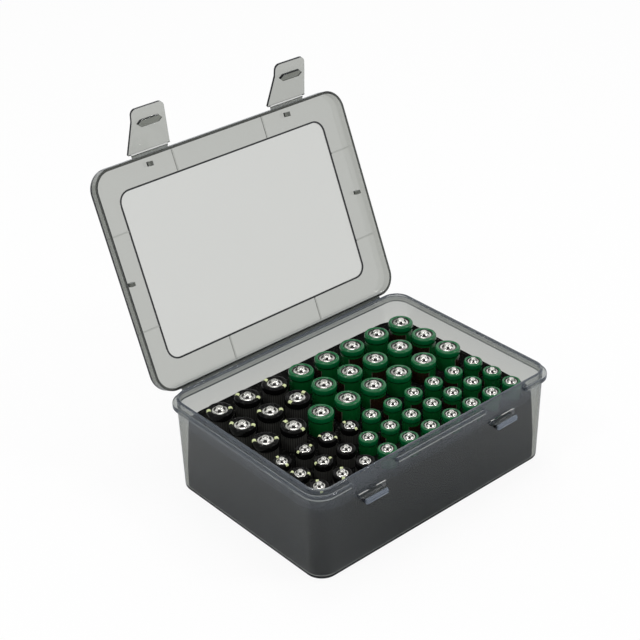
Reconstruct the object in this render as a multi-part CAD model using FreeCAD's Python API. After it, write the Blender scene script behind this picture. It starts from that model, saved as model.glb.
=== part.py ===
import FreeCAD, Part
import math
import os

from FreeCAD import Vector

# A hinged, latched battery case in smoke-grey polypropylene, with a black cell tray inside.
# Frame: origin at the centre of the base's underside, +X along the long side, -Y towards the
# latches, +Y towards the hinge, +Z up. Millimetres. The lid stands open and the latches hang free.

# Outline shared by the lid and the base's flange
case_length = 165.0
case_width = 119.0
case_corner = 11.0

# Base: drafted walls that run on above the flange as a lip
flange_top = 51.8
flange_thickness = 2.6
flange_reach = 2.1
flange_edge = 0.4
groove_width = 0.9
groove_depth = 0.6
lip_height = 2.4
lip_edge = 0.4
wall_thickness = 1.6
wall_draft = 0.93
wall_corner = 9.5
floor_thickness = 1.6
foot_rounding = 1.5

# Latch stations, and the gaps that the flange leaves for the latches
latch_end_distance = 37.0
latch_gap_length = 29.0
latch_gap_rounding = 1.5

# Catch lugs on the front wall, each under a window through the wall
lug_length = 14.0
lug_bottom = 36.3
lug_height = 2.8
lug_reach = 1.3
lug_bevel = 0.7
window_length = 17.5
window_height = 3.2
window_over_lug = 1.4

# Lid: a shallow tray with a thin centre panel, ribs and guide nibs
rim_gap = 0.2
lid_height = 6.0
lid_wall = 1.4
lid_top_thickness = 1.3
lid_edge = 0.8
panel_length = 137.4
panel_width = 91.5
panel_corner = 7.0
panel_thickness = 0.8
rib_thickness = 0.8
rib_height = 0.4
front_rib_spacing = 60.0
side_rib_spacing = 51.0
nib_length = 2.0
nib_thickness = 2.4
nib_height = 3.4
nib_play = 0.35
nib_end_distance = 36.7
lid_open_angle = 112.9

# Living hinge of the lid: two thin webs that meet at the bend
hinge_axis_reach = 0.9
hinge_web_length = 140.0
hinge_web_thickness = 0.5
hinge_bend_gap = 0.15

# Latches: a tapered plate on a thin web, with a hooking ridge and a flared finger tab
latch_axis_reach = 0.8
latch_web_width = 22.6
latch_web_thickness = 0.4
latch_bend_gap = 0.25
latch_root_width = 26.0
latch_kink_width = 20.5
latch_tip_width = 20.0
latch_tip_rounding = 3.0
latch_thickness = 1.3
latch_root_distance = 1.3
latch_kink_distance = 19.2
latch_length = 25.4
latch_flare = 1.0
latch_lug_clearance = 0.2
ridge_length = 15.0
ridge_width = 3.6
ridge_point = 2.0
ridge_height = 1.5
ridge_lug_clearance = 0.3
latch_left_tilt = 28.5
latch_right_tilt = 35.5

# Cells: the smallest that the AA and AAA standards allow
aa_diameter = 13.6
aa_length = 49.2
aaa_diameter = 9.9
aaa_length = 43.3
shoulder_rounding = 0.5
cap_share = 0.63
cap_thickness = 0.3
button_share = 0.38
button_height = 1.0

# Tray: a plate with a skirt, hung with one cup for each cell
tray_top = 39.1
tray_corner = 15.0
tray_foot_corner = 8.0
tray_plate_thickness = 1.6
tray_skirt_thickness = 1.2
tray_play = 0.25
cup_wall = 0.8
cup_floor = 1.4
cell_play = 0.35
aaa_cup_bottom = 4.5
aa_left_margin = 12.05
aa_right_margin = 16.45
aaa_left_margin = 8.97
aaa_right_margin = 13.37
front_margin = 9.67
aaa_row_pitch = 13.7
group_pitch = 16.0
aa_row_pitch = 18.2

# The cells of each row from the -X end: K has a black sleeve, G a green one
aa_rows = {"front": "KKGGGGGG", "middle": "KKKGGGGG", "rear": "KKKGGGGG"}
aaa_rows = {"front": "KKKGGGGGGG", "middle": "KKKGGGGGGG", "rear": "KKKKGGGGGG"}
colours = {"black": "K", "green": "G"}

# What follows from the sizes above
flange_bottom = flange_top - flange_thickness
lip_top = flange_top + lip_height
rim_plane = flange_top + rim_gap
lid_top = rim_plane + lid_height
lid_ceiling = lid_top - lid_top_thickness
bend_height = flange_top + rim_gap / 2
hinge_axis_y = case_width / 2 + hinge_axis_reach
latch_axis_y = -case_width / 2 - latch_axis_reach
lug_face_y = -case_width / 2 - lug_reach
latch_inner_height = latch_axis_y - lug_face_y + latch_lug_clearance
ridge_start = bend_height - lug_bottom + ridge_lug_clearance
latch_stations = [side * (case_length / 2 - latch_end_distance) for side in (-1, 1)]
quarter_turn = 90
cut_margin = 1.0
edge_margin = 0.01
x_axis = Vector(1, 0, 0)
z_axis = Vector(0, 0, 1)


def rounded_rectangle(length, width, radius, height):
    """A wire at one height, centred on the Z axis."""
    x = length / 2 - radius
    y = width / 2 - radius
    centres = [(x, y), (-x, y), (-x, -y), (x, -y)]
    arcs = [
        Part.makeCircle(
            radius, Vector(cx, cy, height), z_axis, turn * quarter_turn, (turn + 1) * quarter_turn
        )
        for turn, (cx, cy) in enumerate(centres)
    ]
    edges = []
    for arc, following in zip(arcs, arcs[1:] + arcs[:1]):
        edges.append(arc)
        edges.append(Part.makeLine(arc.Vertexes[-1].Point, following.Vertexes[0].Point))
    return Part.Wire(edges)


def rounded_block(length, width, radius, low, high):
    outline = rounded_rectangle(length, width, radius, low)
    return Part.Face(outline).extrude(Vector(0, 0, high - low))


def box(low, high):
    size = Vector(*high) - Vector(*low)
    return Part.makeBox(size.x, size.y, size.z, Vector(*low))


def wall_inset(height):
    """How far the drafted wall stands inside the case outline at a height."""
    return flange_reach + (flange_bottom - height) * math.tan(math.radians(wall_draft))


def wall_outline(height, depth):
    """Length, width and corner radius of the wall's outside, taken in by a depth."""
    inset = 2 * (wall_inset(height) + depth)
    return case_length - inset, case_width - inset, wall_corner - depth


def wall_block(low, high, depth):
    ends = [rounded_rectangle(*wall_outline(height, depth), height) for height in (low, high)]
    return Part.makeLoft(ends, True, True)


def flange():
    """The rim outside the wall: a groove beside the lip, a gap with round ends at each latch, and
    a square edge where the hinge starts."""
    rim = rounded_block(case_length, case_width, case_corner, flange_bottom, flange_top)
    front = -case_width / 2
    gap_back = front + wall_inset(flange_bottom) + wall_thickness / 2
    for middle in latch_stations:
        low = (middle - latch_gap_length / 2, front - cut_margin, flange_bottom - cut_margin)
        high = (middle + latch_gap_length / 2, gap_back, flange_top + cut_margin)
        rim = rim.cut(box(low, high))
    straight = case_length / 2 - case_corner - edge_margin
    upright = [edge for edge in rim.Edges if edge.BoundBox.ZLength > flange_thickness / 2]
    gap_ends = [
        edge
        for edge in upright
        if edge.BoundBox.YMax < front + edge_margin and abs(edge.BoundBox.XMax) < straight
    ]
    rim = rim.makeFillet(latch_gap_rounding, gap_ends)
    flat = [edge for edge in rim.Edges if edge.BoundBox.ZLength < edge_margin]
    exposed = [edge for edge in flat if abs(edge.BoundBox.YMin - gap_back) > edge_margin]
    rim = rim.makeFillet(flange_edge, exposed)
    hinge_low = (-hinge_web_length / 2, -front - flange_reach, flange_bottom)
    hinge_high = (hinge_web_length / 2, -front, flange_top)
    rim = rim.fuse(box(hinge_low, hinge_high))
    length, width, corner = wall_outline(flange_top, -groove_width)
    return rim.cut(rounded_block(length, width, corner, flange_top - groove_depth, flange_top + cut_margin))


def lug(middle):
    """One catch: flat below, upright in front, its top sloping back into the wall."""
    root_y = wall_inset(lug_bottom) + wall_thickness / 2 - case_width / 2
    lug_top = lug_bottom + lug_height
    profile = [
        (root_y, lug_bottom),
        (lug_face_y, lug_bottom),
        (lug_face_y, lug_top - lug_bevel),
        (lug_face_y + lug_bevel, lug_top),
        (root_y, lug_bottom + window_over_lug),
    ]
    points = [Vector(middle - lug_length / 2, y, z) for y, z in profile]
    return Part.Face(Part.makePolygon(points + points[:1])).extrude(x_axis * lug_length)


def window(middle):
    """The opening through the front wall over one lug, cut no further out than the wall's face."""
    low_z = lug_bottom + window_over_lug
    outside = wall_inset(low_z) - case_width / 2
    low = (middle - window_length / 2, outside, low_z)
    high = (
        middle + window_length / 2,
        outside + wall_thickness + cut_margin,
        low_z + window_height,
    )
    return box(low, high)


def base_shell():
    """Floor, drafted walls, lip, flange, lugs and windows: one moulding."""
    outside = wall_block(0, lip_top, 0)
    foot = [edge for edge in outside.Edges if edge.BoundBox.ZMax < edge_margin]
    outside = outside.makeFillet(foot_rounding, foot)
    shell = outside.fuse([flange()] + [lug(middle) for middle in latch_stations])
    hollow = wall_block(floor_thickness, lip_top + cut_margin, wall_thickness)
    shell = shell.cut([hollow] + [window(middle) for middle in latch_stations])
    lip = [edge for edge in shell.Edges if edge.BoundBox.ZMin > lip_top - edge_margin]
    return shell.makeFillet(lip_edge, lip).removeSplitter()


def opened_lid(shape):
    """Swings a piece drawn on the closed lid to where the lid stands."""
    return shape.rotate(Vector(0, hinge_axis_y, bend_height), -x_axis, lid_open_angle)


def lid_shell():
    """Top, skirt, thin centre panel, ribs and nibs: one moulding, drawn closed."""
    shell = rounded_block(case_length, case_width, case_corner, rim_plane, lid_top)
    top_edges = [edge for edge in shell.Edges if edge.BoundBox.ZMin > lid_top - edge_margin]
    shell = shell.makeFillet(lid_edge, top_edges)
    inside_length = case_length - 2 * lid_wall
    inside_width = case_width - 2 * lid_wall
    inside_corner = case_corner - lid_wall
    hollow = rounded_block(inside_length, inside_width, inside_corner, rim_plane - cut_margin, lid_ceiling)
    panel_recess = rounded_block(
        panel_length, panel_width, panel_corner, lid_ceiling - cut_margin, lid_top - panel_thickness
    )
    shell = shell.cut([hollow, panel_recess])
    return shell.fuse(lid_ribs() + lid_nibs()).removeSplitter()


def lid_ribs():
    """Short ribs from the centre panel to the skirt, two on each side of the lid."""
    low_z = lid_ceiling - rib_height
    high_z = lid_ceiling + lid_top_thickness / 2
    into_skirt = lid_wall / 2
    ribs = []
    for side in (-1, 1):
        for end in (-1, 1):
            x = side * front_rib_spacing / 2
            near, far = sorted((end * panel_width / 2, end * (case_width / 2 - into_skirt)))
            ribs.append(box((x - rib_thickness / 2, near, low_z), (x + rib_thickness / 2, far, high_z)))
            y = side * side_rib_spacing / 2
            near, far = sorted((end * panel_length / 2, end * (case_length / 2 - into_skirt)))
            ribs.append(box((near, y - rib_thickness / 2, low_z), (far, y + rib_thickness / 2, high_z)))
    return ribs


def lid_nibs():
    """Four pegs that drop just inside the base's lip when the lid closes."""
    low_z = lid_ceiling - nib_height
    high_z = lid_ceiling + lid_top_thickness / 2
    lip_inset = wall_inset(low_z) + wall_thickness + nib_play
    nibs = []
    for side in (-1, 1):
        x = side * (case_length / 2 - nib_end_distance)
        y = lip_inset - case_width / 2
        nibs.append(box((x - nib_length / 2, y, low_z), (x + nib_length / 2, y + nib_thickness, high_z)))
        outer = side * (case_length / 2 - lip_inset)
        near, far = sorted((outer, outer - side * nib_thickness))
        nibs.append(box((near, -nib_length / 2, low_z), (far, nib_length / 2, high_z)))
    return nibs


def hinge_web(on_lid):
    """The half of the lid's living hinge on one side of the bend, drawn closed."""
    low_z = rim_plane if on_lid else flange_top - hinge_web_thickness
    edge = case_width / 2
    return box(
        (-hinge_web_length / 2, edge, low_z),
        (hinge_web_length / 2, hinge_axis_y - hinge_bend_gap, low_z + hinge_web_thickness),
    )


def latch_web(middle):
    """The lid's half of a latch's living hinge, drawn closed."""
    return box(
        (middle - latch_web_width / 2, latch_axis_y + latch_bend_gap, rim_plane),
        (middle + latch_web_width / 2, -case_width / 2, rim_plane + latch_web_thickness),
    )


def latch_side_profile():
    """The latch seen from its side: distance from the bend, height over the bend."""
    web_low = rim_gap / 2
    web_high = web_low + latch_web_thickness
    inner = latch_inner_height
    outer = inner + latch_thickness
    return [
        (latch_bend_gap, web_low),
        (latch_root_distance - latch_web_thickness, web_low),
        (latch_root_distance + inner / 2, inner),
        (latch_kink_distance, inner),
        (latch_length, inner + latch_flare),
        (latch_length, outer + latch_flare),
        (latch_kink_distance, outer),
        (latch_root_distance, outer),
        (latch_root_distance - inner, web_high),
        (latch_bend_gap, web_high),
    ]


def latch_outline():
    """The latch seen from above: half width, distance from the bend."""
    return [
        (latch_web_width / 2, 0),
        (latch_web_width / 2, latch_root_distance),
        (latch_root_width / 2, latch_root_distance),
        (latch_kink_width / 2, latch_kink_distance),
        (latch_tip_width / 2, latch_length),
    ]


def latch(middle, tilt):
    """One latch, tilted in towards the lid's hollow by its rest angle, drawn on the closed lid."""
    left = middle - latch_root_width / 2
    side = [Vector(left, latch_axis_y - d, bend_height + h) for d, h in latch_side_profile()]
    plate = Part.Face(Part.makePolygon(side + side[:1])).extrude(x_axis * latch_root_width)
    low_z = bend_height - cut_margin
    tall = latch_inner_height + latch_thickness + latch_flare + 2 * cut_margin
    half = latch_outline()
    loop = half + [(-x, d) for x, d in reversed(half)]
    seen = [Vector(middle + x, latch_axis_y - d, low_z) for x, d in loop]
    blank = Part.Face(Part.makePolygon(seen + seen[:1])).extrude(z_axis * tall)
    tip = [
        edge
        for edge in blank.Edges
        if edge.BoundBox.ZLength > tall - edge_margin
        and edge.BoundBox.YMax < latch_axis_y - latch_length + edge_margin
    ]
    plate = plate.common(blank.makeFillet(latch_tip_rounding, tip))
    shape = plate.fuse(latch_ridge(middle)).removeSplitter()
    return shape.rotate(Vector(middle, latch_axis_y, bend_height), x_axis, tilt)


def latch_ridge(middle):
    """The bar that hooks under a lug: straight, with a point at each end."""
    half_flat = ridge_length / 2 - ridge_point
    y = latch_axis_y - ridge_start
    low_z = bend_height + latch_inner_height - ridge_height
    loop = [
        (-half_flat, 0),
        (half_flat, 0),
        (ridge_length / 2, ridge_width / 2),
        (half_flat, ridge_width),
        (-half_flat, ridge_width),
        (-ridge_length / 2, ridge_width / 2),
    ]
    points = [Vector(middle + x, y - d, low_z) for x, d in loop]
    bar = Part.Face(Part.makePolygon(points + points[:1]))
    return bar.extrude(z_axis * (ridge_height + latch_thickness / 2))


tray_length, tray_width = wall_outline(floor_thickness, wall_thickness + tray_play)[:2]


def cell_places(rows, left_margin, right_margin, first_row, row_pitch):
    """Cell centres of each row, from the -X end; the rows run from the front to the rear."""
    places = {}
    for number, (row, cells) in enumerate(rows.items()):
        column_pitch = (tray_length - left_margin - right_margin) / (len(cells) - 1)
        first = left_margin - tray_length / 2
        y = first_row + number * row_pitch
        places[row] = [(first + column * column_pitch, y) for column in range(len(cells))]
    return places


aaa_first_row = front_margin - tray_width / 2
aa_first_row = aaa_first_row + (len(aaa_rows) - 1) * aaa_row_pitch + group_pitch
aa_places = cell_places(aa_rows, aa_left_margin, aa_right_margin, aa_first_row, aa_row_pitch)
aaa_places = cell_places(aaa_rows, aaa_left_margin, aaa_right_margin, aaa_first_row, aaa_row_pitch)
aa_bottom = floor_thickness + cup_floor
aaa_bottom = aaa_cup_bottom + cup_floor


def cups(places, diameter, bottom, extra_radius, top):
    """One upright cylinder for each cell of a grid."""
    radius = diameter / 2 + cell_play + extra_radius
    return [
        Part.makeCylinder(radius, top - bottom, Vector(x, y, bottom))
        for row in places.values()
        for x, y in row
    ]


def tray_block(inset, low, high):
    """The tray's outline taken in by an inset, with corners that grow rounder towards the top."""
    length = tray_length - 2 * inset
    width = tray_width - 2 * inset
    foot = rounded_rectangle(length, width, tray_foot_corner - inset, low)
    head = rounded_rectangle(length, width, tray_corner - inset, high)
    return Part.makeLoft([foot, head], True, True)


def cell_tray():
    """Plate, skirt and cups, standing on the base's floor."""
    body = tray_block(0, floor_thickness, tray_top)
    under = tray_block(
        tray_skirt_thickness, floor_thickness - cut_margin, tray_top - tray_plate_thickness
    )
    into_plate = tray_top - tray_plate_thickness / 2
    walls = cups(aa_places, aa_diameter, floor_thickness, cup_wall, into_plate)
    walls += cups(aaa_places, aaa_diameter, aaa_cup_bottom, cup_wall, into_plate)
    pockets = cups(aa_places, aa_diameter, aa_bottom, 0, tray_top + cut_margin)
    pockets += cups(aaa_places, aaa_diameter, aaa_bottom, 0, tray_top + cut_margin)
    return body.cut(under).fuse(walls).cut(pockets).removeSplitter()


def jacket(x, y, bottom, diameter, length):
    """A cell's can in its printed sleeve, round at the shoulder."""
    can = Part.makeCylinder(diameter / 2, length - button_height - cap_thickness, Vector(x, y, bottom))
    shoulder = [edge for edge in can.Edges if edge.BoundBox.ZMin > bottom + edge_margin]
    return can.makeFillet(shoulder_rounding, shoulder)


def cap(x, y, bottom, diameter, length):
    """The positive end: a thin disc that rises in a cone to the button."""
    top = bottom + length
    low = top - button_height - cap_thickness
    disc = Part.makeCylinder(diameter * cap_share / 2, cap_thickness, Vector(x, y, low))
    button = Part.makeCone(
        diameter * cap_share / 2,
        diameter * button_share / 2,
        button_height,
        Vector(x, y, top - button_height),
    )
    return disc.fuse(button)


def cell_groups(size, rows, places, bottom, diameter, length):
    """Jackets and caps of each row's black cells and of its green cells."""
    groups = {}
    for row, centres in places.items():
        for colour, letter in colours.items():
            group = [centre for centre, cell in zip(centres, rows[row]) if cell == letter]
            jackets = [jacket(x, y, bottom, diameter, length) for x, y in group]
            caps = [cap(x, y, bottom, diameter, length) for x, y in group]
            groups[f"{size}_{row}_{colour}_jackets"] = Part.makeCompound(jackets)
            groups[f"{size}_{row}_{colour}_caps"] = Part.makeCompound(caps)
    return groups


nodes = {
    "base_shell": base_shell(),
    "hinge_web_base_side": hinge_web(on_lid=False),
    "cell_tray": cell_tray(),
    "lid_shell": opened_lid(lid_shell()),
    "hinge_web_lid_side": opened_lid(hinge_web(on_lid=True)),
}
latches = zip(("latch_left", "latch_right"), latch_stations, (latch_left_tilt, latch_right_tilt))
for name, middle, tilt in latches:
    nodes[name] = opened_lid(latch(middle, tilt))
    nodes[name + "_web"] = opened_lid(latch_web(middle))
nodes.update(cell_groups("aa", aa_rows, aa_places, aa_bottom, aa_diameter, aa_length))
nodes.update(cell_groups("aaa", aaa_rows, aaa_places, aaa_bottom, aaa_diameter, aaa_length))

os.makedirs("parts", exist_ok=True)
for name, shape in nodes.items():
    shape.exportStep(f"parts/{name}.step")
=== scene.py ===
import math

import bpy
from mathutils import Matrix, Vector


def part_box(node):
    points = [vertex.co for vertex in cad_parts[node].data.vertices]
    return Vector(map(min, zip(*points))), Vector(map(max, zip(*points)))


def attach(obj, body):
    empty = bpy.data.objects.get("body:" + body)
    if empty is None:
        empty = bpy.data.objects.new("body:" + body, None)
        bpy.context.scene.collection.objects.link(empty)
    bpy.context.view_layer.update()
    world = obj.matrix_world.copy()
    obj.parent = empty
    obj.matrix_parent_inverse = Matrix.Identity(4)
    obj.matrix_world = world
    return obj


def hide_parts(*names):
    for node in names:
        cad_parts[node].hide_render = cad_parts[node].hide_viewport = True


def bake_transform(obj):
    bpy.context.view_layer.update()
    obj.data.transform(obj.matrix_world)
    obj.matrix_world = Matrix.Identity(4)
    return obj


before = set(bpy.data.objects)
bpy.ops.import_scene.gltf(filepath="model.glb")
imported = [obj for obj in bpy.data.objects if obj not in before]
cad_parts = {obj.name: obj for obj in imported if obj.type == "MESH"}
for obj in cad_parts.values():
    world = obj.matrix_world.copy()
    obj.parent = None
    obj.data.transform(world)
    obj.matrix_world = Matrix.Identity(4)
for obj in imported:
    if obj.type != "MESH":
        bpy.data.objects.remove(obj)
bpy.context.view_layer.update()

# ---------------------------------------------------------------------------------------------
# Studio: the camera looks down into the open case from in front and left of the latches.
# A white sweep lies under and behind it and the ceiling is darker, so clear plastic has dark edges.
view_azimuth = math.radians(-40.54)
view_elevation = math.radians(30.34)
view_roll = math.radians(-1.56)
view_target = Vector((0.0151, 0.0491, 0.0642))
view_distance = 0.833
lens, sensor_width = 87.2, 36.0
nearest_seen = 0.05

camera_data = bpy.data.cameras.new("camera")
camera_data.lens = lens
camera_data.sensor_width = sensor_width
camera_data.clip_start = nearest_seen
camera = bpy.data.objects.new("camera", camera_data)
bpy.context.collection.objects.link(camera)
towards_camera = Vector((
    math.sin(view_azimuth) * math.cos(view_elevation),
    -math.cos(view_azimuth) * math.cos(view_elevation),
    math.sin(view_elevation),
))
camera.rotation_mode = "QUATERNION"
camera.rotation_quaternion = (
    (-towards_camera).to_track_quat("-Z", "Y") @ Matrix.Rotation(view_roll, 3, "Z").to_quaternion()
)
camera.location = view_target + towards_camera * view_distance
bpy.context.scene.camera = camera
bpy.context.scene.view_settings.view_transform = "Standard"


def math_node(nodes, links, operation, first, second=None, third=None, clamp=False):
    """One sum of a material: each of its inputs is a number or another node's output."""
    node = nodes.new("ShaderNodeMath")
    node.operation = operation
    node.use_clamp = clamp
    for socket, value in zip(node.inputs, (first, second, third)):
        if isinstance(value, bpy.types.NodeSocket):
            links.new(value, socket)
        elif value is not None:
            socket.default_value = value
    return node.outputs[0]


def seen_share(nodes, links):
    """1 where the camera, a reflection or a clear piece looks, 0 where light is gathered."""
    path = nodes.new("ShaderNodeLightPath")
    mirrored = math_node(nodes, links, "MAXIMUM", path.outputs["Is Glossy Ray"],
                         path.outputs["Is Transmission Ray"])
    return math_node(nodes, links, "MAXIMUM", path.outputs["Is Camera Ray"], mirrored)


gathered_light, ceiling_light = 0.72, 0.15
sweep_top, ceiling_start = 0.50, 0.80
world = bpy.data.worlds.new("studio")
world.use_nodes = True
bpy.context.scene.world = world
nodes, links = world.node_tree.nodes, world.node_tree.links
nodes.clear()
heading = nodes.new("ShaderNodeTexCoord")
parts = nodes.new("ShaderNodeSeparateXYZ")
links.new(heading.outputs["Generated"], parts.inputs[0])
sweep = nodes.new("ShaderNodeMapRange")
sweep.interpolation_type = "SMOOTHSTEP"
sweep.inputs["From Min"].default_value = sweep_top
sweep.inputs["From Max"].default_value = ceiling_start
sweep.inputs["To Min"].default_value = 1.0
sweep.inputs["To Max"].default_value = ceiling_light
links.new(parts.outputs["Z"], sweep.inputs["Value"])
path = nodes.new("ShaderNodeLightPath")
looked_at = math_node(nodes, links, "MAXIMUM", sweep.outputs["Result"],
                      path.outputs["Is Camera Ray"])
strength = nodes.new("ShaderNodeMix")
strength.inputs["A"].default_value = gathered_light
links.new(looked_at, strength.inputs["B"])
links.new(seen_share(nodes, links), strength.inputs["Factor"])
surround = nodes.new("ShaderNodeBackground")
surround.inputs["Color"].default_value = (1, 1, 1, 1)
links.new(strength.outputs["Result"], surround.inputs["Strength"])
output = nodes.new("ShaderNodeOutputWorld")
links.new(surround.outputs[0], output.inputs["Surface"])

# The table glows where it is looked at. In a reflection it is darker near the case, in its shade.
mm = 0.001
table_size = 12.0
table_gap = 0.2 * mm
table_grey = 0.86
glow_share = 0.9
shade_start, shade_end = 62 * mm, 130 * mm
dimmed_at_start, dimmed_at_end = -0.95, -0.55
bpy.ops.object.select_all(action="DESELECT")
bpy.ops.mesh.primitive_plane_add(size=table_size, location=(0, 0, -table_gap))
table = bpy.context.object
table.name = "table"
table_white = bpy.data.materials.new("table_white")
table_white.use_nodes = True
nodes, links = table_white.node_tree.nodes, table_white.node_tree.links
nodes.clear()
paper = nodes.new("ShaderNodeBsdfDiffuse")
paper.inputs["Color"].default_value = (table_grey, table_grey, table_grey, 1)
glow = nodes.new("ShaderNodeEmission")
glow.inputs["Color"].default_value = (1, 1, 1, 1)
share = math_node(nodes, links, "MULTIPLY", seen_share(nodes, links), glow_share)
path = nodes.new("ShaderNodeLightPath")
bounced = math_node(nodes, links, "SUBTRACT", path.outputs["Is Glossy Ray"],
                    path.outputs["Is Transmission Ray"], clamp=True)
place = nodes.new("ShaderNodeTexCoord")
away = nodes.new("ShaderNodeVectorMath")
away.operation = "LENGTH"
links.new(place.outputs["Object"], away.inputs[0])
shade = nodes.new("ShaderNodeMapRange")
shade.inputs["From Min"].default_value = shade_start
shade.inputs["From Max"].default_value = shade_end
shade.inputs["To Min"].default_value = dimmed_at_start
shade.inputs["To Max"].default_value = dimmed_at_end
links.new(away.outputs["Value"], shade.inputs["Value"])
mirrored_glow = math_node(nodes, links, "MULTIPLY_ADD", bounced, shade.outputs["Result"], 1.0)
links.new(mirrored_glow, glow.inputs["Strength"])
mix = nodes.new("ShaderNodeMixShader")
output = nodes.new("ShaderNodeOutputMaterial")
links.new(share, mix.inputs["Fac"])
links.new(paper.outputs[0], mix.inputs[1])
links.new(glow.outputs[0], mix.inputs[2])
links.new(mix.outputs[0], output.inputs["Surface"])
table.data.materials.append(table_white)

for name, place, size, power in (
    ("lamp_above", (0.15, 0.25, 1.2), 0.6, 3.0),
    ("lamp_left", (-0.80, 0.02, 1.0), 0.22, 2.4),
    ("lamp_right", (0.55, -0.70, 1.0), 0.30, 2.6),
):
    lamp = bpy.data.lights.new(name, "AREA")
    lamp.shape = "DISK"
    lamp.size = size
    lamp.energy = power
    holder = bpy.data.objects.new(name, lamp)
    bpy.context.collection.objects.link(holder)
    holder.location = place
    holder.rotation_mode = "QUATERNION"
    holder.rotation_quaternion = (view_target - Vector(place)).to_track_quat("-Z", "Y")


# ---------------------------------------------------------------------------------------------
# Base, lid and latches: injection mouldings of clear smoke-grey polypropylene. The grey deepens
# with the plastic that light crosses. Moulding leaves a thin bluish haze in it, and more of it in
# edges seen on the slant, in the lugs and, on the base, towards the rim.
clear_index = 1.49
smoke_colour = (0.50, 0.512, 0.475)
haze_colour = (0.60, 0.70, 0.87)
rim_haze_start, rim_haze_end = 36 * mm, 52 * mm
edge_haze, edge_haze_falloff = 0.10, 4.0
lug_haze = 0.20
# Only the lugs stand out past this plane below this height
lug_zone_front, lug_zone_top = -59.55 * mm, 45 * mm
flow_scale = 45.0
flow_least, flow_reach = 0.75, 0.5


def smoke_polypropylene(name, haze, roughness, absorption, gloss, rim_haze=0.0):
    material = bpy.data.materials.new(name)
    material.use_nodes = True
    nodes, links = material.node_tree.nodes, material.node_tree.links
    clear = nodes["Principled BSDF"]
    clear.inputs["Base Color"].default_value = (1, 1, 1, 1)
    clear.inputs["IOR"].default_value = clear_index
    clear.inputs["Transmission Weight"].default_value = 1.0
    clear.inputs["Roughness"].default_value = roughness
    clear.inputs["Specular IOR Level"].default_value = gloss
    place = nodes.new("ShaderNodeTexCoord")
    parts = nodes.new("ShaderNodeSeparateXYZ")
    links.new(place.outputs["Object"], parts.inputs[0])
    rise = nodes.new("ShaderNodeMapRange")
    rise.interpolation_type = "SMOOTHSTEP"
    rise.inputs["From Min"].default_value = rim_haze_start
    rise.inputs["From Max"].default_value = rim_haze_end
    rise.inputs["To Min"].default_value = haze
    rise.inputs["To Max"].default_value = haze + rim_haze
    links.new(parts.outputs["Z"], rise.inputs["Value"])
    turned_away = nodes.new("ShaderNodeLayerWeight")
    turned_away.inputs["Blend"].default_value = 0.5
    edges = math_node(nodes, links, "POWER", turned_away.outputs["Facing"], edge_haze_falloff)
    with_edges = math_node(nodes, links, "MULTIPLY_ADD", edges, edge_haze, rise.outputs["Result"])
    standing_out = math_node(nodes, links, "LESS_THAN", parts.outputs["Y"], lug_zone_front)
    low_down = math_node(nodes, links, "LESS_THAN", parts.outputs["Z"], lug_zone_top)
    lugs = math_node(nodes, links, "MULTIPLY", standing_out, low_down)
    with_lugs = math_node(nodes, links, "MULTIPLY_ADD", lugs, lug_haze, with_edges)
    drift = nodes.new("ShaderNodeTexNoise")
    drift.inputs["Scale"].default_value = flow_scale
    links.new(place.outputs["Object"], drift.inputs["Vector"])
    flow = math_node(nodes, links, "MULTIPLY_ADD", drift.outputs["Fac"], flow_reach, flow_least)
    milk = nodes.new("ShaderNodeBsdfDiffuse")
    milk.inputs["Color"].default_value = (*haze_colour, 1)
    blend = nodes.new("ShaderNodeMixShader")
    links.new(math_node(nodes, links, "MULTIPLY", with_lugs, flow, clamp=True), blend.inputs["Fac"])
    links.new(clear.outputs[0], blend.inputs[1])
    links.new(milk.outputs[0], blend.inputs[2])
    links.new(blend.outputs[0], nodes["Material Output"].inputs["Surface"])
    smoke = nodes.new("ShaderNodeVolumeAbsorption")
    smoke.inputs["Color"].default_value = (*smoke_colour, 1)
    smoke.inputs["Density"].default_value = absorption
    links.new(smoke.outputs[0], nodes["Material Output"].inputs["Volume"])
    return material


crease = math.radians(32)
merge_distance = 0.001 * mm


def moulding(node, name, body, material):
    """A frame solid's own shape with its curves shaded smooth, moving with one body."""
    piece = bpy.data.objects.new(name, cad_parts[node].data.copy())
    bpy.context.collection.objects.link(piece)
    bpy.ops.object.select_all(action="DESELECT")
    piece.select_set(True)
    bpy.context.view_layer.objects.active = piece
    bpy.ops.object.mode_set(mode="EDIT")
    bpy.ops.mesh.select_all(action="SELECT")
    bpy.ops.mesh.remove_doubles(threshold=merge_distance)
    bpy.ops.object.mode_set(mode="OBJECT")
    bpy.ops.mesh.customdata_custom_splitnormals_clear()
    bpy.ops.object.shade_smooth_by_angle(angle=crease)
    weights = piece.modifiers.new("flats", "WEIGHTED_NORMAL")
    weights.keep_sharp = True
    bpy.ops.object.modifier_apply(modifier=weights.name)
    piece.data.materials.clear()
    piece.data.materials.append(material)
    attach(piece, body)
    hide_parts(node)


base_smoke = smoke_polypropylene(
    "base_smoke", haze=0.014, roughness=0.015, absorption=600.0, gloss=0.4, rim_haze=0.06
)
lid_smoke = smoke_polypropylene(
    "lid_smoke", haze=0.012, roughness=0.01, absorption=1040.0, gloss=0.5
)
moulding("base_shell", "base_moulding", "base", base_smoke)
moulding("lid_shell", "lid_moulding", "lid", lid_smoke)
moulding("latch_left", "latch_left_moulding", "latch_left", lid_smoke)
moulding("latch_right", "latch_right_moulding", "latch_right", lid_smoke)


# ---------------------------------------------------------------------------------------------
# Living hinge: a thin web of the case's own plastic, moulded in one with the base and the lid along
# the back. It is thin enough to bend each time the lid swings.
strip_crease = math.radians(40)


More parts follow.
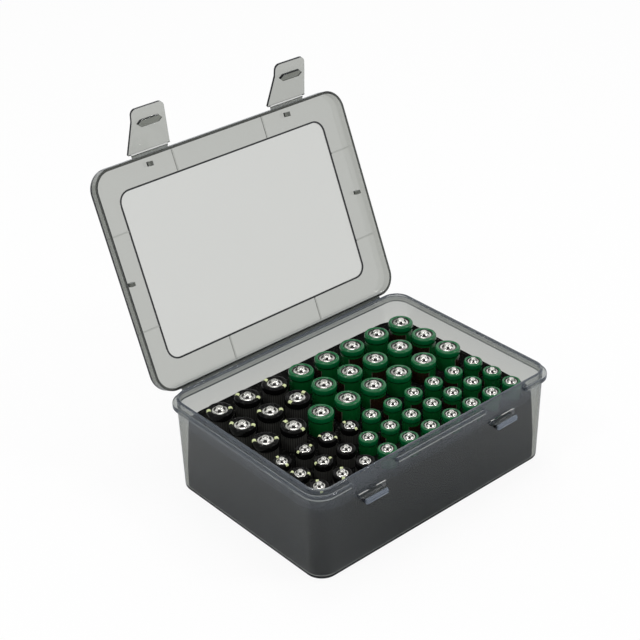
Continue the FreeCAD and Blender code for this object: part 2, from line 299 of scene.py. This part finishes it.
def flexible_strip(name, length, middle_x, line, thickness, material):
    """A strip along X that follows a line of (y, z) points in millimetres."""
    first_y, first_z = line[0]
    bpy.ops.object.select_all(action="DESELECT")
    bpy.ops.mesh.primitive_plane_add(size=1)
    strip = bpy.context.object
    strip.name = name
    bpy.ops.object.mode_set(mode="EDIT")
    bpy.ops.mesh.select_mode(type="VERT")
    bpy.ops.mesh.select_all(action="SELECT")
    bpy.ops.mesh.merge(type="CENTER")
    bpy.ops.transform.translate(value=((middle_x - length / 2) * mm, first_y * mm, first_z * mm))
    bpy.ops.mesh.extrude_region_move(TRANSFORM_OT_translate={"value": (length * mm, 0, 0)})
    bpy.ops.mesh.select_all(action="SELECT")
    for (y, z), (next_y, next_z) in zip(line, line[1:]):
        step = (0, (next_y - y) * mm, (next_z - z) * mm)
        bpy.ops.mesh.extrude_region_move(TRANSFORM_OT_translate={"value": step})
    bpy.ops.object.mode_set(mode="OBJECT")
    solid = strip.modifiers.new("thickness", "SOLIDIFY")
    solid.thickness = thickness * mm
    solid.offset = 0
    bpy.ops.object.modifier_apply(modifier=solid.name)
    bpy.ops.object.mode_set(mode="EDIT")
    bpy.ops.mesh.select_all(action="SELECT")
    bpy.ops.mesh.normals_make_consistent(inside=False)
    bpy.ops.object.mode_set(mode="OBJECT")
    bpy.ops.object.shade_smooth_by_angle(angle=strip_crease)
    strip.data.materials.append(material)
    return strip


hinge_length, hinge_thickness = 139.6, 0.4
hinge_line = [
    (59.6, 51.55), (60.15, 51.55), (60.5, 51.67), (60.76, 51.92), (60.92, 52.25), (61.04, 52.55),
]
web_smoke = smoke_polypropylene(
    "web_smoke", haze=0.04, roughness=0.1, absorption=15000.0, gloss=0.4
)
hinge_strip = flexible_strip("hinge_strip", hinge_length, 0, hinge_line, hinge_thickness, web_smoke)
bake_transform(hinge_strip)
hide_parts("hinge_web_base_side", "hinge_web_lid_side")

# ---------------------------------------------------------------------------------------------
# Cells: steel cans in shrunk plastic sleeves, each with a pressed, nickel-plated cap. The sleeve
# necks in under the crimp ring, bulges over it and dips inside it to the cap. Green sleeves carry a
# brown panel, black ones a pair of pale marks beside the cap.
own_place = "own_place"
mark_flag = "marked"
sleeve_sides, sleeve_crease = 36, math.radians(60)
cap_sides, cap_crease = 32, math.radians(40)


def at_origin(piece):
    """Moves a new piece's place, turn and size into its mesh."""
    bpy.ops.object.select_all(action="DESELECT")
    piece.select_set(True)
    bpy.context.view_layer.objects.active = piece
    bpy.ops.object.transform_apply(location=True, rotation=True, scale=True)


def turned_solid(name, profile, sides):
    """A closed solid of revolution: a disc drawn on from ring to ring of (radius, height)."""
    radius, height = profile[0]
    bpy.ops.object.select_all(action="DESELECT")
    bpy.ops.mesh.primitive_circle_add(vertices=sides, radius=radius * mm, fill_type="NGON",
                                      location=(0, 0, height * mm))
    piece = bpy.context.object
    piece.name = name
    at_origin(piece)
    bpy.ops.object.mode_set(mode="EDIT")
    bpy.ops.mesh.select_all(action="SELECT")
    for next_radius, next_height in profile[1:]:
        rise = (0, 0, (next_height - height) * mm)
        bpy.ops.mesh.extrude_region_move(TRANSFORM_OT_translate={"value": rise})
        share = next_radius / radius
        bpy.ops.transform.resize(value=(share, share, 1), center_override=(0, 0, 0))
        radius, height = next_radius, next_height
    bpy.ops.mesh.select_all(action="SELECT")
    bpy.ops.mesh.normals_make_consistent(inside=False)
    bpy.ops.object.mode_set(mode="OBJECT")
    return piece


def sleeve_profile(radius, length, crimp):
    """From the cell's foot up, over the crimp ring and down inside it to the cap."""
    return [
        (0.86 * radius, 0.0), (0.93 * radius, 0.4), (0.95 * radius, 1.1),
        (0.95 * radius, length - crimp - 1.6), (0.925 * radius, length - crimp - 1.25),
        (0.925 * radius, length - crimp - 0.75), (0.965 * radius, length - crimp - 0.45),
        (radius, length - crimp), (radius, length - 1.3), (0.985 * radius, length - 0.75),
        (0.945 * radius, length - 0.3), (0.88 * radius, length - 0.05), (0.80 * radius, length),
        (0.73 * radius, length - 0.15), (0.67 * radius, length - 0.55),
        (0.635 * radius, length - 1.1), (0.3 * radius, length - 1.1),
    ]


def cap_profile(radius, top):
    """The pressed cap: a flat flange inside the ring, a cone and a rounded button."""
    flange = 0.60 * radius
    return [
        (0.9 * flange, top - 1.3), (flange, top - 1.2), (flange, top - 0.7),
        (0.95 * flange, top - 0.55), (0.84 * flange, top - 0.55), (0.76 * flange, top - 0.45),
        (0.54 * flange, top + 0.15), (0.48 * flange, top + 0.65), (0.45 * flange, top + 1.05),
        (0.37 * flange, top + 1.3), (0.25 * flange, top + 1.35), (0.12 * flange, top + 1.25),
    ]


def sleeve_zones(nodes, links):
    """A point's place on its own cell: x and y in radii, height over the ring, radius and angle."""
    place = nodes.new("ShaderNodeAttribute")
    place.attribute_name = own_place
    parts = nodes.new("ShaderNodeSeparateXYZ")
    links.new(place.outputs["Vector"], parts.inputs[0])
    x, y, height = parts.outputs
    squares = math_node(nodes, links, "ADD", math_node(nodes, links, "POWER", x, 2.0),
                        math_node(nodes, links, "POWER", y, 2.0))
    radius = math_node(nodes, links, "SQRT", squares)
    angle = math_node(nodes, links, "ARCTAN2", y, x)
    return x, y, height, radius, angle


def colour_mix(nodes, links, share, first, second):
    """Goes from the first colour to the second as share goes from 0 to 1."""
    node = nodes.new("ShaderNodeMix")
    node.data_type = "RGBA"
    for socket, value in zip((node.inputs[6], node.inputs[7]), (first, second)):
        if isinstance(value, bpy.types.NodeSocket):
            links.new(value, socket)
        else:
            socket.default_value = (*value, 1)
    links.new(share, node.inputs[0])
    return node.outputs[2]


def shrunk_film(name):
    """What both sleeves' materials start from: a film with faint waves, its nodes and links."""
    wave_scale, wave_strength, wave_depth = 420.0, 0.12, 0.2 * mm
    material = bpy.data.materials.new(name)
    material.use_nodes = True
    nodes, links = material.node_tree.nodes, material.node_tree.links
    film = nodes["Principled BSDF"]
    place = nodes.new("ShaderNodeTexCoord")
    waves = nodes.new("ShaderNodeTexNoise")
    waves.inputs["Scale"].default_value = wave_scale
    links.new(place.outputs["Object"], waves.inputs["Vector"])
    bump = nodes.new("ShaderNodeBump")
    bump.inputs["Strength"].default_value = wave_strength
    bump.inputs["Distance"].default_value = wave_depth
    links.new(waves.outputs["Fac"], bump.inputs["Height"])
    links.new(bump.outputs[0], film.inputs["Normal"])
    return material, nodes, links, film


def green_film():
    """Green, darker under the ring and darkest beside the cap, with a pale-edged brown panel."""
    ring_green, body_green = (0.001, 0.115, 0.032), (0.001, 0.070, 0.014)
    shaded_green = (0.001, 0.010, 0.003)
    panel_brown, edge_grey = (0.014, 0.006, 0.003), (0.07, 0.09, 0.06)
    neck_height, panel_top = -3.3, -5.4
    dip_radius = 0.71
    panel_angle, edge_angle = 1.1, 0.035
    material, nodes, links, film = shrunk_film("sleeve_green")
    _, _, height, radius, angle = sleeve_zones(nodes, links)
    body = math_node(nodes, links, "LESS_THAN", height, neck_height)
    dip = math_node(nodes, links, "LESS_THAN", radius, dip_radius)
    around = math_node(nodes, links, "ABSOLUTE", angle)
    below = math_node(nodes, links, "LESS_THAN", height, panel_top)
    facing = math_node(nodes, links, "LESS_THAN", around, panel_angle)
    panel = math_node(nodes, links, "MULTIPLY", facing, below)
    rim = math_node(nodes, links, "COMPARE", around, panel_angle, edge_angle)
    edge = math_node(nodes, links, "MULTIPLY", rim, below)
    colour = colour_mix(nodes, links, body, ring_green, body_green)
    colour = colour_mix(nodes, links, panel, colour, panel_brown)
    colour = colour_mix(nodes, links, edge, colour, edge_grey)
    colour = colour_mix(nodes, links, dip, colour, shaded_green)
    links.new(colour, film.inputs["Base Color"])
    film.inputs["Roughness"].default_value = 0.18
    film.inputs["Specular IOR Level"].default_value = 0.6
    return material


def black_film():
    """Smooth and black round the ring, duller below it with ribs as stripes of painted shade and
    painted light, and two marks by the cap.
    """
    ring_black, mark_yellow = (0.003, 0.003, 0.003), (0.60, 0.66, 0.36)
    groove_shade_grey, rib_light_grey = (0.012, 0.012, 0.011), (0.042, 0.042, 0.038)
    neck_height, ribs = -3.9, 34.0
    mark_half_width, mark_radius, mark_reach, mark_bottom = 0.15, 0.83, 0.17, -0.9
    ring_roughness, added_below = 0.12, 0.3
    material, nodes, links, film = shrunk_film("sleeve_black")
    x, y, height, _, angle = sleeve_zones(nodes, links)
    body = math_node(nodes, links, "LESS_THAN", height, neck_height)
    # Ribs: painted shade in the grooves and painted light on the ribs, as grey stripes round the
    # cell.
    wave = math_node(nodes, links, "SINE", math_node(nodes, links, "MULTIPLY", angle, ribs))
    wave = math_node(nodes, links, "MULTIPLY_ADD", wave, 0.5, 0.5)
    grey = colour_mix(nodes, links, wave, groove_shade_grey, rib_light_grey)
    colour = colour_mix(nodes, links, body, ring_black, grey)
    across = math_node(nodes, links, "ABSOLUTE", y)
    across = math_node(nodes, links, "LESS_THAN", across, mark_half_width)
    out = math_node(nodes, links, "ABSOLUTE", x)
    out = math_node(nodes, links, "COMPARE", out, mark_radius, mark_reach)
    top = math_node(nodes, links, "GREATER_THAN", height, mark_bottom)
    flag = nodes.new("ShaderNodeAttribute")
    flag.attribute_name = mark_flag
    mark = math_node(nodes, links, "MULTIPLY", across, out)
    mark = math_node(nodes, links, "MULTIPLY", mark, top)
    mark = math_node(nodes, links, "MULTIPLY", mark, flag.outputs["Fac"])
    colour = colour_mix(nodes, links, mark, colour, mark_yellow)
    links.new(colour, film.inputs["Base Color"])
    roughness = math_node(nodes, links, "MULTIPLY_ADD", body, added_below, ring_roughness)
    links.new(roughness, film.inputs["Roughness"])
    film.inputs["Specular IOR Level"].default_value = 0.12
    return material


def cap_metal():
    """Nickel-plated steel with faint smears."""
    nickel_grey = (0.80, 0.79, 0.75, 1)
    smear_scale, polished, smeared = 700.0, 0.14, 0.34
    material = bpy.data.materials.new("cap_nickel")
    material.use_nodes = True
    nodes, links = material.node_tree.nodes, material.node_tree.links
    steel = nodes["Principled BSDF"]
    steel.inputs["Base Color"].default_value = nickel_grey
    steel.inputs["Metallic"].default_value = 1.0
    place = nodes.new("ShaderNodeTexCoord")
    smears = nodes.new("ShaderNodeTexNoise")
    smears.inputs["Scale"].default_value = smear_scale
    links.new(place.outputs["Object"], smears.inputs["Vector"])
    roughness = nodes.new("ShaderNodeMapRange")
    roughness.inputs["To Min"].default_value = polished
    roughness.inputs["To Max"].default_value = smeared
    links.new(smears.outputs["Fac"], roughness.inputs["Value"])
    links.new(roughness.outputs["Result"], steel.inputs["Roughness"])
    return material


def painted_vent_shade():
    """Painted shade: the near-black inside of the vent holes under the button, where light does not
    reach.
    """
    hole_shade_black, hole_shade_brown = (0.004, 0.003, 0.002), (0.014, 0.010, 0.008)
    shade_speckle_scale = 900.0
    material = bpy.data.materials.new("cap_vent_painted_shade")
    material.use_nodes = True
    nodes, links = material.node_tree.nodes, material.node_tree.links
    hole = nodes["Principled BSDF"]
    place = nodes.new("ShaderNodeTexCoord")
    speckle = nodes.new("ShaderNodeTexNoise")
    speckle.inputs["Scale"].default_value = shade_speckle_scale
    links.new(place.outputs["Object"], speckle.inputs["Vector"])
    colour = colour_mix(nodes, links, speckle.outputs["Fac"], hole_shade_black, hole_shade_brown)
    links.new(colour, hole.inputs["Base Color"])
    hole.inputs["Roughness"].default_value = 0.6
    return material


sleeve_green = green_film()
sleeve_black = black_film()
nickel = cap_metal()
vent = painted_vent_shade()


def sleeve(name, radius, length, crimp, material):
    """One cell's sleeve. Each point keeps its own place: x and y in radii, height over the ring."""
    piece = turned_solid(name, sleeve_profile(radius, length, crimp), sleeve_sides)
    places = piece.data.attributes.new(own_place, "FLOAT_VECTOR", "POINT")
    for vertex, place in zip(piece.data.vertices, places.data):
        x, y, z = vertex.co / mm
        place.vector = (x / radius, y / radius, z - length)
    piece.data.attributes.new(mark_flag, "FLOAT", "POINT")
    bpy.ops.object.shade_smooth_by_angle(angle=sleeve_crease)
    piece.data.materials.append(material)
    return piece


def cap(name, radius, top):
    """A cap with four vent holes under its button: shallow dents in the cone, with painted shade
    inside.
    """
    vent_low, vent_high = (top - 0.42) * mm, (top + 0.6) * mm
    half_vent, quarter = math.radians(25), math.pi / 2
    vent_edge, vent_depth = 0.04 * mm, 0.35 * mm
    flat = 0.97
    piece = turned_solid(name, cap_profile(radius, top), cap_sides)
    piece.data.materials.append(nickel)
    piece.data.materials.append(vent)
    bpy.ops.object.mode_set(mode="EDIT")
    bpy.ops.mesh.select_mode(type="FACE")
    bpy.ops.mesh.select_all(action="DESELECT")
    bpy.ops.object.mode_set(mode="OBJECT")
    for face in piece.data.polygons:
        angle = math.atan2(face.center.y, face.center.x) % quarter
        near = min(angle, quarter - angle) < half_vent
        steep = abs(face.normal.z) < flat
        face.select = near and steep and vent_low < face.center.z < vent_high
        # Vent faces take the second material, which is painted shade.
        face.material_index = int(face.select)
    bpy.ops.object.mode_set(mode="EDIT")
    bpy.ops.mesh.inset(thickness=vent_edge, depth=-vent_depth)
    bpy.ops.object.mode_set(mode="OBJECT")
    bpy.ops.object.shade_smooth_by_angle(angle=cap_crease)
    return piece


def set_out(prototype, name, places, turns):
    """One mesh of as many copies of a cell's piece as there are places."""
    copies = []
    for place, turn in zip(places, turns):
        copy = prototype.copy()
        copy.data = prototype.data.copy()
        copy.data.transform(Matrix.Translation(place) @ Matrix.Rotation(turn, 4, "Z"))
        bpy.context.collection.objects.link(copy)
        copies.append(copy)
    bpy.ops.object.select_all(action="DESELECT")
    for copy in copies:
        copy.select_set(True)
    bpy.context.view_layer.objects.active = copies[0]
    bpy.ops.object.join()
    group = bpy.context.object
    group.name = name
    return group


def cell_places(node, count):
    """The foot of each cell of a group, in a row from the -X end."""
    low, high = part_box(node)
    radius = (high.y - low.y) / 2
    first = Vector((low.x + radius, low.y + radius, low.z))
    step = (high.x - low.x - 2 * radius) / (count - 1)
    return [first + Vector((index * step, 0, 0)) for index in range(count)]


# How far each black cell's pair of marks is turned from the view's left-right line, in degrees.
# The last black cell of two rows has no marks.
mark_turns = {
    "aa_rear": (11, -16, -30),
    "aa_middle": (-10, 6, 52),
    "aa_front": (9, -39),
    "aaa_rear": (-55, 41, -10, -46),
    "aaa_middle": (-11, 30, 0),
    "aaa_front": (-77, -85, 0),
}
unmarked = ("aaa_middle", "aaa_front")
green_counts = {
    "aa_rear": 5, "aa_middle": 5, "aa_front": 6, "aaa_rear": 6, "aaa_middle": 7, "aaa_front": 7,
}
crimps = {"aa": 3.4, "aaa": 2.8}
golden_angle = math.radians(137.5)

prototypes = {}
for size, crimp in crimps.items():
    low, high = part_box(f"{size}_rear_green_jackets")
    radius = (high.y - low.y) / 2 / mm
    length = (high.z - low.z) / mm
    prototypes[size, "green"] = sleeve(size + "_green", radius, length, crimp, sleeve_green)
    prototypes[size, "black"] = sleeve(size + "_black", radius, length, crimp, sleeve_black)
    prototypes[size, "cap"] = cap(size + "_cap", radius, length)

for row, marks in mark_turns.items():
    size = row.split("_")[0]
    turns = {
        "black": [view_azimuth + math.radians(mark) for mark in marks],
        "green": [golden_angle * index for index in range(green_counts[row])],
    }
    for colour, headings in turns.items():
        group = f"{row}_{colour}"
        places = cell_places(group + "_jackets", len(headings))
        sleeves = set_out(prototypes[size, colour], group + "_sleeves", places, headings)
        if colour == "black":
            share = len(sleeves.data.vertices) // len(places)
            plain = share if row in unmarked else 0
            marked = len(sleeves.data.vertices) - plain
            flags = sleeves.data.attributes[mark_flag]
            flags.data.foreach_set("value", [1.0] * marked + [0.0] * plain)
        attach(sleeves, group)
        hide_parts(group + "_jackets")
        cap_turns = [view_azimuth] * len(places)
        tops = set_out(prototypes[size, "cap"], group + "_tops", places, cap_turns)
        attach(tops, group)
        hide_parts(group + "_caps")

for prototype in prototypes.values():
    bpy.data.objects.remove(prototype)


# ---------------------------------------------------------------------------------------------
# Cell tray: one matt black moulding that stands loose on the base's floor, with a cup for each cell
# and dust in its grain.
def dusty_black():
    tray_black, dust_grey = (0.0020, 0.0020, 0.0020), (0.050, 0.050, 0.044)
    grain_scale, grain_detail = 900.0, 4.0
    dust_start, dust_full = 0.58, 0.70
    grain_strength, grain_depth = 0.4, 0.2 * mm
    material = bpy.data.materials.new("tray_black")
    material.use_nodes = True
    nodes, links = material.node_tree.nodes, material.node_tree.links
    matt = nodes["Principled BSDF"]
    place = nodes.new("ShaderNodeTexCoord")
    grain = nodes.new("ShaderNodeTexNoise")
    grain.inputs["Scale"].default_value = grain_scale
    grain.inputs["Detail"].default_value = grain_detail
    links.new(place.outputs["Object"], grain.inputs["Vector"])
    speckle = nodes.new("ShaderNodeMapRange")
    speckle.inputs["From Min"].default_value = dust_start
    speckle.inputs["From Max"].default_value = dust_full
    links.new(grain.outputs["Fac"], speckle.inputs["Value"])
    colour = colour_mix(nodes, links, speckle.outputs["Result"], tray_black, dust_grey)
    links.new(colour, matt.inputs["Base Color"])
    matt.inputs["Roughness"].default_value = 0.8
    matt.inputs["Specular IOR Level"].default_value = 0.08
    bump = nodes.new("ShaderNodeBump")
    bump.inputs["Strength"].default_value = grain_strength
    bump.inputs["Distance"].default_value = grain_depth
    links.new(grain.outputs["Fac"], bump.inputs["Height"])
    links.new(bump.outputs[0], matt.inputs["Normal"])
    return material


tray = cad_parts["cell_tray"]
tray.data.materials.clear()
tray.data.materials.append(dusty_black())


# ---------------------------------------------------------------------------------------------
# Lid's centre panel: the moulding steps down to its thin middle. The step turns light away, so it
# shows as a dark line all round, drawn here as a thin dark ring inside the step.
hinge_axis = Vector((0, 60.4, 51.9)) * mm
lid_angle = math.radians(112.9)
# Takes what is drawn on the closed lid to where the open lid stands
lid_swing = (
    Matrix.Translation(hinge_axis) @ Matrix.Rotation(-lid_angle, 4, "X")
    @ Matrix.Translation(-hinge_axis)
)
panel_length, panel_width, panel_corner = 137.4, 91.5, 7.0
panel_height = 57.16
line_width, line_depth = 0.9, 0.5
corner_segments = 10
bpy.ops.object.select_all(action="DESELECT")
bpy.ops.mesh.primitive_plane_add(size=1, location=(0, 0, panel_height * mm))
panel_line = bpy.context.object
panel_line.name = "lid_panel_line"
panel_line.scale = (panel_length * mm, panel_width * mm, 1)
at_origin(panel_line)
bpy.ops.object.mode_set(mode="EDIT")
bpy.ops.mesh.select_all(action="SELECT")
bpy.ops.mesh.bevel(offset=panel_corner * mm, segments=corner_segments, affect="VERTICES")
bpy.ops.mesh.inset(thickness=line_width * mm)
bpy.ops.mesh.delete(type="FACE")
bpy.ops.mesh.select_all(action="SELECT")
bpy.ops.mesh.extrude_region_move(TRANSFORM_OT_translate={"value": (0, 0, -line_depth * mm)})
bpy.ops.mesh.select_all(action="SELECT")
bpy.ops.mesh.normals_make_consistent(inside=False)
bpy.ops.object.mode_set(mode="OBJECT")

edge_black, edge_grey = (0.006, 0.007, 0.009), (0.014, 0.016, 0.020)
cloud_scale = 90.0
dark_edge = bpy.data.materials.new("dark_edge")
dark_edge.use_nodes = True
nodes, links = dark_edge.node_tree.nodes, dark_edge.node_tree.links
place = nodes.new("ShaderNodeTexCoord")
cloud = nodes.new("ShaderNodeTexNoise")
cloud.inputs["Scale"].default_value = cloud_scale
links.new(place.outputs["Object"], cloud.inputs["Vector"])
shade = colour_mix(nodes, links, cloud.outputs["Fac"], edge_black, edge_grey)
links.new(shade, nodes["Principled BSDF"].inputs["Base Color"])
nodes["Principled BSDF"].inputs["Roughness"].default_value = 0.5
panel_line.data.materials.append(dark_edge)
panel_line.data.transform(lid_swing)
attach(panel_line, "lid")


# ---------------------------------------------------------------------------------------------
# Latch hinges: a thin flexible web, moulded in one with the lid's front edge, carries each latch.
# It is drawn on the closed lid, with its outer end tilted as far as its latch stands out.
latch_middle, latch_tilts = 45.5, {"latch_left": 28.5, "latch_right": 35.5}
latch_axis_y, latch_axis_z = -60.3, 51.9
web_length, web_thickness = 22.4, 0.36
lid_side = [(-59.6, 52.2), (-60.05, 52.2), (-60.35, 52.16)]
# Reach from the axis along the latch, and height over it
latch_side = [(-0.5, 0.3), (-0.8, 0.3)]
latch_web_smoke = smoke_polypropylene(
    "latch_web_smoke", haze=0.04, roughness=0.1, absorption=8000.0, gloss=0.4
)
for name, tilt in latch_tilts.items():
    middle = -latch_middle if name == "latch_left" else latch_middle
    tilt = math.radians(tilt)
    line = list(lid_side)
    for reach, height in latch_side:
        y = latch_axis_y + reach * math.cos(tilt) - height * math.sin(tilt)
        z = latch_axis_z + reach * math.sin(tilt) + height * math.cos(tilt)
        line.append((y, z))
    strip = flexible_strip(
        name + "_strip", web_length, middle, line, web_thickness, latch_web_smoke
    )
    strip.data.transform(lid_swing)
    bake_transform(strip)
    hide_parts(name + "_web")
